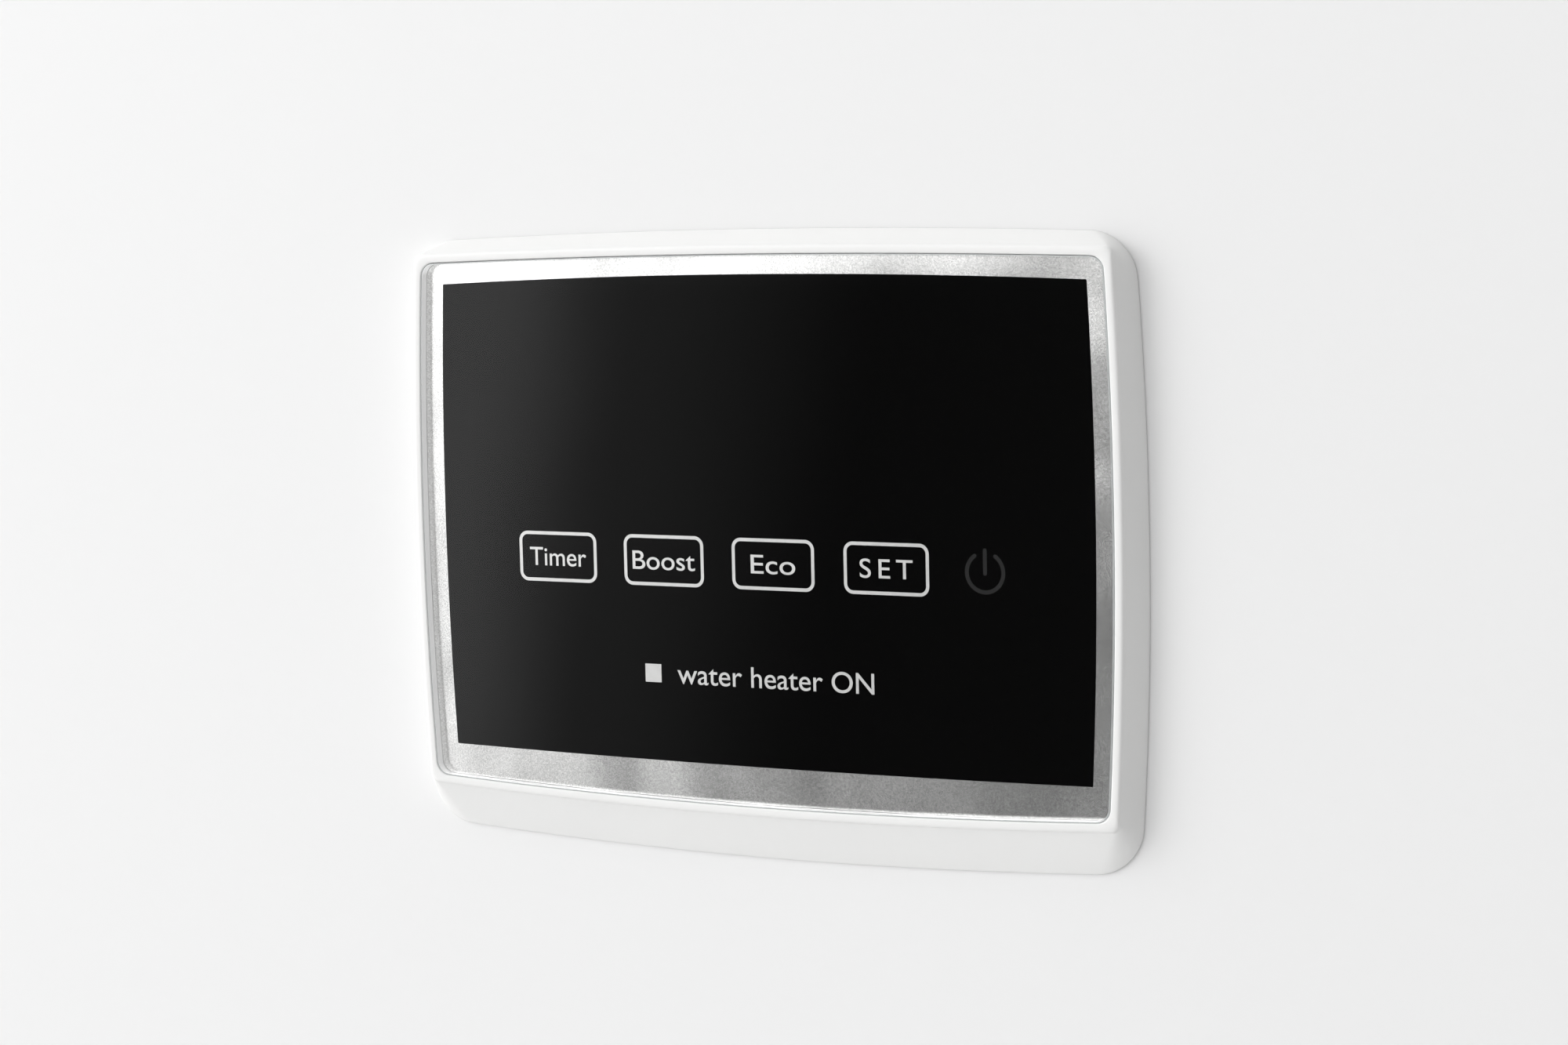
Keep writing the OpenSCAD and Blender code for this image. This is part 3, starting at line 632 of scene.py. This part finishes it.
class HEATING_PANEL_OT_bezel(bpy.types.Operator):
    """Front bezel: rim, steep sides, long lower slope, gasket groove and skirt"""

    bl_idname = "heating_panel.bezel"
    bl_label = "Front Bezel"

    def execute(self, context):
        s = sizes()
        gap, wall = s.lens_gap, s.wall
        rounding = 0.22 * MM
        rim_out = gap + s.rim_width
        foot = bowed(BEZEL_W, BEZEL_H, BEZEL_BOW, s.foot_corner, (BEZEL_LOW.z + BEZEL_HIGH.z) / 2)
        rim = bowed(LENS_W + 2 * rim_out, LENS_H + 2 * rim_out, RIM_BOW, s.rim_corner, LENS_Z)

        def round_lens(grow):
            return bowed(LENS_W + 2 * grow, LENS_H + 2 * grow, LENS_BOW, s.lens_corner + grow, LENS_Z)

        floor_low, floor_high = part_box("light_frame")
        half_w, half_h = (floor_high.x - floor_low.x) / 2, (floor_high.z - floor_low.z) / 2
        clear = 0.5 * MM
        middle = (floor_high.z + floor_low.z) / 2
        hole = [(x, z + middle) for x, z in rounded(half_w + clear, half_h + clear, 3 * MM)]
        floor_y = LEDGE_Y + wall

        rings = [(hole, LEDGE_Y), (round_lens(gap), LEDGE_Y), (round_lens(gap), FRONT_Y + rounding)]
        lip_steps = 4
        for k in range(1, lip_steps + 1):
            a = math.pi / 2 * k / lip_steps
            rings.append((round_lens(gap + rounding * (1 - math.cos(a))),
                          FRONT_Y + rounding * (1 - math.sin(a))))
        # The rounding outside the rim runs from the flat crest over the edge onto the slope.
        crest = round_lens(gap + rounding)
        crest_width = rim_out - gap - rounding
        start = 1 - s.rim_rounding / crest_width
        slope_start = 0.6 * MM
        fullness = 0.96
        crest_steps = 8
        for k in range(crest_steps + 1):
            t = k / crest_steps
            share = (1 - t) ** 2 * start + 2 * t * (1 - t) * fullness + t * t
            rings.append((between(crest, rim, share), FRONT_Y + slope_start * t * t))
        edge_y = FRONT_Y + slope_start
        foot_y = -s.foot_height
        soft = 0.06
        for t in (0.03, 0.35, 0.65, 1 - soft):
            rings.append((between(rim, foot, t), edge_y + (foot_y - edge_y) * t))
        rings.append((between(rim, foot, 1 - soft / 4), foot_y + 0.02 * MM))
        rings.append((foot, foot_y + 0.14 * MM))
        recess = between(foot, rim, 0.12)
        rings += [(foot, -s.shadow_gap), (recess, -s.shadow_gap), (recess, 0)]

        # Behind the casing's face: the gasket's groove, the skirt and the floor behind the lens.
        margin = 0.1 * MM
        gasket_w, gasket_h = GASKET_HIGH.x + margin, GASKET_HIGH.z + margin
        band = 2.4 * MM
        groove_y = GASKET_LOW.y
        outer = rounded(gasket_w, gasket_h, 5 * MM)
        inner = rounded(gasket_w - band, gasket_h - band, 3 * MM)
        rings += [(outer, 0), (outer, groove_y), (inner, groove_y), (inner, 0)]
        housing_w = COVER_W / 2
        housing_h = BOARD_HIGH.z + 3 * MM
        shell = rounded(housing_w, housing_h, 3 * MM)
        inside = rounded(housing_w - wall, housing_h - wall, 2 * MM)
        skirt_y = 8 * MM
        rings += [(shell, 0), (shell, skirt_y - 0.2 * MM)]
        rings += [(between(shell, inside, 0.1), skirt_y), (between(shell, inside, 0.9), skirt_y),
                  (inside, skirt_y - 0.2 * MM), (inside, floor_y), (hole, floor_y)]
        bm = bmesh.new()
        skin(bm, rings, closed=True)
        self.add_bosses(bm, floor_y)
        piece = finish_piece(bm, "front_bezel_moulding",
                             replaces=["front_bezel"], sharp=50)
        piece.data.materials.append(gloss_white_abs())
        return {"FINISHED"}

    @staticmethod
    def add_bosses(bm, floor_y):
        """Eight posts that carry the board and take its screws and the cover's."""
        head_r, post_r, pilot_r = 2.4 * MM, 3 * MM, 1.05 * MM
        sunk = 0.05 * MM
        for node in ("board_screws", "cover_screws"):
            low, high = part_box(node)
            for x in (low.x + head_r, high.x - head_r):
                for z in (low.z + head_r, high.z - head_r):
                    post, pilot = disc(x, z, post_r), disc(x, z, pilot_r)
                    skin(bm, [(pilot, floor_y - sunk), (post, floor_y - sunk),
                              (post, BOARD_LOW.y), (pilot, BOARD_LOW.y)], closed=True)


class HEATING_PANEL_OT_lens(bpy.types.Operator):
    """Clear lens with its polished chamfer"""

    bl_idname = "heating_panel.lens"
    bl_label = "Lens"

    def execute(self, context):
        s = sizes()
        chamfer = s.lens_chamfer

        def outline(inset):
            return bowed(LENS_W - 2 * inset, LENS_H - 2 * inset, LENS_BOW, s.lens_corner - inset,
                         LENS_Z)

        bm = bmesh.new()
        back = PRINT_Y - INK_GAP
        back_edge = 0.05 * MM
        skin(bm, [(outline(back_edge), back), (outline(0), back - back_edge),
                  (outline(0), FRONT_Y + chamfer), (outline(chamfer), FRONT_Y)], closed=False)
        piece = finish_piece(bm, "lens_sheet", replaces=["lens_panel"], sharp=20)
        piece.data.materials.append(clear_acrylic())
        piece.data.materials.append(polished_acrylic_edge())
        for face in piece.data.polygons:
            face.material_index = 0 if abs(face.normal.y) > 0.99 else 1
        return {"FINISHED"}


def letters(text, spacing=1.0):
    """A flat mesh of the words on the baseline, and the height of a capital."""
    curve = bpy.data.curves.new("words", "FONT")
    curve.size = 1
    curve.space_character = spacing
    curve.fill_mode = "FRONT"
    curve.offset = 0.003
    shown = bpy.data.objects.new("words", curve)
    bpy.context.scene.collection.objects.link(shown)
    heights = []
    for body in ("H", text):
        curve.body = body
        bpy.context.view_layer.update()
        mesh = bpy.data.meshes.new_from_object(shown.evaluated_get(
            bpy.context.evaluated_depsgraph_get()))
        heights.append(max(v.co.y for v in mesh.vertices))
        if body != text:
            bpy.data.meshes.remove(mesh)
    bpy.data.objects.remove(shown)
    bpy.data.curves.remove(curve)
    return mesh, heights[0]


class HEATING_PANEL_OT_prints(bpy.types.Operator):
    """Printed layers on the back of the lens, and the generic words on the keys"""

    bl_idname = "heating_panel.prints"
    bl_label = "Printed Layers"

    def execute(self, context):
        s = sizes()
        words = context.scene.heating_panel_words
        soften_parts(["silver_border"], 0, silver_ink(), sharp=0)
        dress(["black_mask"], black_ink())
        ink = legend_ink()
        soften_parts(["key_legends"], 0, ink, sharp=0)
        # The legend part starts at the first key box's left edge and at the status line's baseline.
        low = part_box("key_legends")[0]
        first = low.x + KEY_W / 2
        # Each key's word, its width in millimetres and the spacing of its letters.
        legends = [(words.key_1, 10.8, 1), (words.key_2, 11.6, 1), (words.key_3, 8.0, 1),
                   (words.key_4, 9.2, 1.35)]
        for k, (text, width, spacing) in enumerate(legends):
            self.write(f"key_{k + 1}_lettering", text, first + k * KEY_PITCH, KEY_Z, width * MM,
                       s.legend_height, ink, spacing)
        self.write("status_lettering", words.status, STATUS_LEFT + STATUS_W / 2,
                   low.z + s.status_height / 2, STATUS_W, s.status_height, ink)
        return {"FINISHED"}

    @staticmethod
    def write(name, text, x, z, width, height, ink, spacing=1.0):
        """Sets a word in the middle of (x, z), just in front of the black layer."""
        mesh, capital = letters(text, spacing)
        left = min(v.co.x for v in mesh.vertices)
        right = max(v.co.x for v in mesh.vertices)
        turn = Matrix.Rotation(math.pi / 2, 4, "X")
        grow = Matrix.Diagonal((width / (right - left), height / capital, 1, 1))
        centre = Matrix.Translation((-(left + right) / 2, -capital / 2, 0))
        mesh.transform(Matrix.Translation((x, PRINT_Y - sizes().ink, z)) @ turn @ grow @ centre)
        bm = bmesh.new()
        bm.from_mesh(mesh)
        bpy.data.meshes.remove(mesh)
        bmesh.ops.remove_doubles(bm, verts=bm.verts, dist=MERGE)
        bmesh.ops.solidify(bm, geom=bm.faces, thickness=sizes().ink / 2)
        bmesh.ops.recalc_face_normals(bm, faces=bm.faces)
        piece = finish_piece(bm, name)
        piece.data.materials.append(ink)


class HEATING_PANEL_OT_seals(bpy.types.Operator):
    """Foam seal behind the bezel and the adhesive frame behind the lens"""

    bl_idname = "heating_panel.seals"
    bl_label = "Seals"

    def execute(self, context):
        soften_parts(["casing_gasket"], 0.15 * MM, foam("grey_closed_cell_foam", linear("#4A4D4E"),
                                                       0.35 * MM))
        dress(["lens_tape"], foam("black_acrylic_foam_tape", linear("#2A2A2B"), 0.25 * MM))
        return {"FINISHED"}


class HEATING_PANEL_OT_rear_cover(bpy.types.Operator):
    """Rear cover with its posts, cable opening and clip ears"""

    bl_idname = "heating_panel.rear_cover"
    bl_label = "Rear Cover"

    def execute(self, context):
        finish = plastic("matt_white_moulded_abs", tuple(colours().cover), 0.5, 0.35 * MM, 0.012 * MM)
        soften_parts(["rear_cover"], sizes().moulded_edge, finish, segments=3)
        return {"FINISHED"}


class HEATING_PANEL_OT_clips(bpy.types.Operator):
    """Four spring-steel clips and their pins"""

    bl_idname = "heating_panel.clips"
    bl_label = "Clips and Pins"

    def execute(self, context):
        strip = metal("blued_spring_steel_strip", linear("#9AA0A6"), 0.32, 0.15 * MM, 0.004 * MM,
                      (1, 0.05, 0.05))
        clips = [name for name in frame["nodes"] if name.startswith("clip_") and name != "clip_pins"]
        soften_parts(sorted(clips), sizes().sheet_edge, strip)
        pin = metal("zinc_plated_steel", linear("#C9CBCC"), 0.28, 0.3 * MM, 0.003 * MM)
        soften_parts(["clip_pins"], 0.12 * MM, pin)
        return {"FINISHED"}


class HEATING_PANEL_OT_screws(bpy.types.Operator):
    """Pan-head screws of the board and of the rear cover"""

    bl_idname = "heating_panel.screws"
    bl_label = "Screws"

    def execute(self, context):
        zinc = metal("bright_zinc_screw", linear("#C4C6C8"), 0.26, 0.25 * MM, 0.003 * MM)
        soften_parts(["board_screws", "cover_screws"], 0.2 * MM, zinc, segments=3)
        return {"FINISHED"}


class HEATING_PANEL_OT_springs(bpy.types.Operator):
    """Torsion springs of the clips and sensing springs of the keys"""

    bl_idname = "heating_panel.springs"
    bl_label = "Springs"

    def execute(self, context):
        drawn = metal("drawn_spring_wire", linear("#B4B8BC"), 0.25, 0.12 * MM, 0.003 * MM)
        names = [name for name in frame["nodes"] if name.startswith("spring_")]
        soften_parts(sorted(names), 0, drawn, sharp=75)
        gilt = metal("gold_plated_spring_wire", linear("#D9B46A"), 0.25, 0.12 * MM, 0.003 * MM)
        soften_parts(["touch_springs"], 0, gilt, sharp=75)
        return {"FINISHED"}


class HEATING_PANEL_OT_light_parts(bpy.types.Operator):
    """Reflector block, display, lamps and light pipe behind the window"""

    bl_idname = "heating_panel.light_parts"
    bl_label = "Light Parts"

    def execute(self, context):
        white = plastic("white_polycarbonate_reflector", linear("#ECECE8"), 0.45, 0.4 * MM, 0.01 * MM)
        soften_parts(["light_frame"], 0.2 * MM, white)
        case = plastic("grey_display_case", linear("#5A5C5E"), 0.5, 0.3 * MM, 0.01 * MM)
        dress(["digit_display"], case)
        dress(["display_segments"], clear_resin("milky_segment_resin", linear("#B9BBB8"), 0.3))
        dress(["indicator_light_pipe"], clear_resin("clear_light_pipe", linear("#E6E8E4"), 0.1))
        dress(["key_leds"], clear_resin("yellowish_lamp_resin", linear("#D8CE8C"), 0.2))
        tin = metal("tinned_pin", linear("#C8C9C6"), 0.3, 0.2 * MM, 0.003 * MM)
        soften_parts(["display_pins"], 0.05 * MM, tin)
        return {"FINISHED"}


class HEATING_PANEL_OT_board(bpy.types.Operator):
    """Circuit board and the components on its back"""

    bl_idname = "heating_panel.board"
    bl_label = "Circuit Board"

    def execute(self, context):
        dress(["main_board"], board_laminate())
        epoxy = plastic("black_moulding_epoxy", linear("#1B1C1D"), 0.55, 0.15 * MM, 0.01 * MM)
        soften_parts(["microcontroller", "touch_controller", "voltage_regulator"], 0.1 * MM, epoxy)
        soften_parts(["chip_capacitors"], 0.08 * MM,
                     plastic("tan_ceramic_chip", linear("#A98C66"), 0.5, 0.2 * MM, 0.01 * MM))
        soften_parts(["chip_resistors"], 0.05 * MM,
                     plastic("black_glazed_resistor", linear("#17181A"), 0.35, 0.2 * MM, 0.01 * MM))
        soften_parts(["crystal"], 0.3 * MM,
                     metal("nickel_plated_can", linear("#C9C7C1"), 0.3, 0.2 * MM, 0.004 * MM))
        soften_parts(["smoothing_capacitor"], 0.35 * MM,
                     plastic("dark_blue_vinyl_sleeve", linear("#1C2544"), 0.3, 0.5 * MM, 0.01 * MM),
                     segments=3)
        soften_parts(["buzzer"], 0.3 * MM,
                     plastic("black_moulded_noryl", linear("#19191A"), 0.45, 0.25 * MM, 0.01 * MM),
                     segments=3)
        return {"FINISHED"}


class HEATING_PANEL_OT_connector(bpy.types.Operator):
    """Cable header and its pins"""

    bl_idname = "heating_panel.connector"
    bl_label = "Cable Header"

    def execute(self, context):
        nylon = plastic("natural_nylon", linear("#E6E0CC"), 0.4, 0.3 * MM, 0.008 * MM)
        soften_parts(["cable_header"], 0.15 * MM, nylon)
        tin = metal("tinned_header_pin", linear("#CDCDC9"), 0.25, 0.2 * MM, 0.003 * MM)
        soften_parts(["header_pins"], 0.08 * MM, tin)
        return {"FINISHED"}


# ---- studio ----


class HEATING_PANEL_OT_studio(bpy.types.Operator):
    """Plain pale floor and backdrop, soft light and the camera"""

    bl_idname = "heating_panel.studio"
    bl_label = "Studio"

    def execute(self, context):
        settings = context.scene.heating_panel_studio
        self.add_camera(context.scene, settings)
        floor_z = -0.6
        reach = 2.0
        wall_half_w, wall_top = 2.4, 1.4
        self.add_plane("casing_backdrop", (wall_half_w, 0, floor_z, wall_top), casing_paint())
        self.add_plane("studio_floor", (reach, reach, floor_z, None), floor_paint(reach))
        self.add_light(settings)
        self.add_sky(context.scene, settings)
        context.scene.view_settings.view_transform = "Standard"
        return {"FINISHED"}

    @staticmethod
    def add_camera(scene, settings):
        az, el, roll = settings.azimuth, settings.elevation, settings.roll
        back = Vector((math.sin(az) * math.cos(el), -math.cos(az) * math.cos(el), math.sin(el)))
        right = Vector((math.cos(az), math.sin(az), 0))
        up = back.cross(right)
        window_z = 3.85 * MM
        look_at = Vector((0, PRINT_Y, window_z))
        place = (look_at + back * settings.distance + right * settings.shift_right
                 + up * settings.shift_up)
        turned_right = right * math.cos(roll) - up * math.sin(roll)
        turned_up = right * math.sin(roll) + up * math.cos(roll)
        data = bpy.data.cameras.new("panel_camera")
        data.lens = settings.focal
        data.sensor_width = 36
        data.clip_start = 0.01
        camera = bpy.data.objects.new("panel_camera", data)
        turn = Matrix((turned_right, turned_up, back)).transposed().to_4x4()
        camera.matrix_world = Matrix.Translation(place) @ turn
        scene.collection.objects.link(camera)
        scene.camera = camera

    @staticmethod
    def add_plane(name, size, material):
        """A floor, or a wall that faces the front where size gives its top."""
        half_w, half_d, low, top = size
        bm = bmesh.new()
        bmesh.ops.create_grid(bm, x_segments=1, y_segments=1, size=1)
        if top is None:
            bmesh.ops.scale(bm, vec=(half_w, half_d, 1), verts=bm.verts)
            bmesh.ops.translate(bm, vec=(0, 0, low), verts=bm.verts)
        else:
            bmesh.ops.rotate(bm, cent=(0, 0, 0), matrix=Matrix.Rotation(math.pi / 2, 3, "X"),
                             verts=bm.verts)
            bmesh.ops.scale(bm, vec=(half_w, 1, (top - low) / 2), verts=bm.verts)
            # A hair in front of Y = 0, where the bezel's back ends.
            bmesh.ops.translate(bm, vec=(0, -0.02 * MM, (top + low) / 2), verts=bm.verts)
        mesh = bpy.data.meshes.new(name)
        bm.to_mesh(mesh)
        bm.free()
        mesh.materials.append(material)
        plane = bpy.data.objects.new(name, mesh)
        bpy.context.scene.collection.objects.link(plane)

    @staticmethod
    def add_light(settings):
        """A large soft light above and to the left of the front."""
        data = bpy.data.lights.new("key_light", "AREA")
        data.shape = "DISK"
        data.size = 0.7
        data.energy = settings.key_power
        light = bpy.data.objects.new("key_light", data)
        light.location = (-0.75, -0.6, 0.62)
        light.rotation_euler = (-light.location).to_track_quat("-Z", "Y").to_euler()
        bpy.context.scene.collection.objects.link(light)

    @staticmethod
    def add_sky(scene, settings):
        """Soft light all round, brightest to the left, with a dim part that the lens mirrors."""
        world = bpy.data.worlds.new("studio_sky")
        world.use_nodes = True
        tree = world.node_tree
        tree.nodes.clear()
        to = add_node(tree, "TexCoord").outputs["Generated"]
        x, y, z = add_node(tree, "SeparateXYZ", {0: to}).outputs

        def math_node(operation, *values):
            return add_node(tree, "Math", dict(enumerate(values)), operation=operation).outputs[0]

        def step(value, start, end, low, high):
            """A soft step from low at start to high at end."""
            inputs = {"Value": value, "From Min": start, "From Max": end, "To Min": low, "To Max": high}
            return add_node(tree, "MapRange", inputs,
                            interpolation_type="SMOOTHSTEP").outputs["Result"]

        def step_degrees(value, start, end, low, high):
            """A step whose start and end are in degrees."""
            return step(value, math.radians(start), math.radians(end), low, high)

        azimuth = math_node("ARCTAN2", x, math_node("MULTIPLY", y, -1.0))
        leaning = math_node("MULTIPLY_ADD", z, -0.17, azimuth)

        # The dim part is what the camera sees mirrored in the window.
        near_edge = step_degrees(leaning, -32.7, -29.7, 0.0, 0.72)
        far_edge = step_degrees(leaning, -30.3, -25.3, 0.0, 0.22)
        left = math_node("ADD", near_edge, far_edge)
        right = step_degrees(azimuth, -16, -5, 1.0, 0.0)
        above = step(z, -0.012, 0.05, 1.0, 0.0)
        below = step(z, -0.7, -0.45, 0.0, 1.0)
        dim = math_node("MULTIPLY", math_node("MULTIPLY", left, right),
                        math_node("MULTIPLY", above, below))
        keep = math_node("SUBTRACT", 1.0, dim)
        slant = math_node("MULTIPLY_ADD", x, -0.85, math_node("MULTIPLY_ADD", z, 0.28, 0.93))

        # The soft box stands beside the dim part, and reaches over and under it.
        beside = step_degrees(leaning, -37, -32.7, 1.0, 0.0)
        over = step(z, -0.03, 0.03, 0.0, 2.5)
        under = step(z, -0.33, -0.21, 0.9, 0.0)
        fading = step_degrees(azimuth, -27, -12, 1.0, 0.0)
        reaching = math_node("MULTIPLY", math_node("MAXIMUM", over, under), fading)
        box_inside = math_node("MAXIMUM", beside, reaching)
        box_end = step_degrees(azimuth, -75, -58, 0.0, 1.1)
        box_height = math_node("MULTIPLY", step(z, -0.5, -0.38, 0.0, 1.0),
                               step(z, 0.25, 0.4, 1.0, 0.0))
        soft_box = math_node("MULTIPLY", box_inside, math_node("MULTIPLY", box_end, box_height))
        open_sky = math_node("MULTIPLY_ADD", slant, keep, soft_box)
        strength = math_node("MULTIPLY", open_sky, settings.sky)
        plain = add_node(tree, "Background", {"Color": linear("#EAEAEA"), "Strength": 1.0})
        lit = add_node(tree, "Background", {"Color": (1, 1, 1, 1), "Strength": strength})
        seen = add_node(tree, "LightPath").outputs["Is Camera Ray"]
        mixed = add_node(tree, "MixShader", {0: seen, 1: lit.outputs[0], 2: plain.outputs[0]})
        out = add_node(tree, "OutputWorld")
        tree.links.new(mixed.outputs[0], out.inputs["Surface"])
        scene.world = world


# ---- add-on ----

PIECES = (
    HEATING_PANEL_OT_bezel,
    HEATING_PANEL_OT_lens,
    HEATING_PANEL_OT_prints,
    HEATING_PANEL_OT_seals,
    HEATING_PANEL_OT_rear_cover,
    HEATING_PANEL_OT_clips,
    HEATING_PANEL_OT_screws,
    HEATING_PANEL_OT_springs,
    HEATING_PANEL_OT_light_parts,
    HEATING_PANEL_OT_board,
    HEATING_PANEL_OT_connector,
    HEATING_PANEL_OT_studio,
)
GROUPS = {
    "heating_panel_sizes": PanelSizes,
    "heating_panel_colours": PanelColours,
    "heating_panel_words": PanelWords,
    "heating_panel_studio": StudioSettings,
}


class HEATING_PANEL_PT_sidebar(bpy.types.Panel):
    """Lists the sizes, the colours and the pieces"""

    bl_idname = "HEATING_PANEL_PT_sidebar"
    bl_label = "Heating Panel"
    bl_space_type = "VIEW_3D"
    bl_region_type = "UI"
    bl_category = SIDEBAR

    def draw(self, context):
        for group in GROUPS:
            settings = getattr(context.scene, group)
            column = self.layout.column()
            for name in settings.bl_rna.properties.keys():
                if name not in ("rna_type", "name"):
                    column.prop(settings, name)
        for operator in PIECES:
            self.layout.operator(operator.bl_idname)


CLASSES = tuple(GROUPS.values()) + PIECES + (HEATING_PANEL_PT_sidebar,)


def register():
    for cls in CLASSES:
        bpy.utils.register_class(cls)
    for name, group in GROUPS.items():
        setattr(bpy.types.Scene, name, PointerProperty(type=group))


def unregister():
    for name in GROUPS:
        delattr(bpy.types.Scene, name)
    for cls in reversed(CLASSES):
        bpy.utils.unregister_class(cls)


def main():
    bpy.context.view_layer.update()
    register()
    for operator in PIECES:
        group, name = operator.bl_idname.split(".")
        getattr(getattr(bpy.ops, group), name)()


if __name__ == "__main__":
    main()
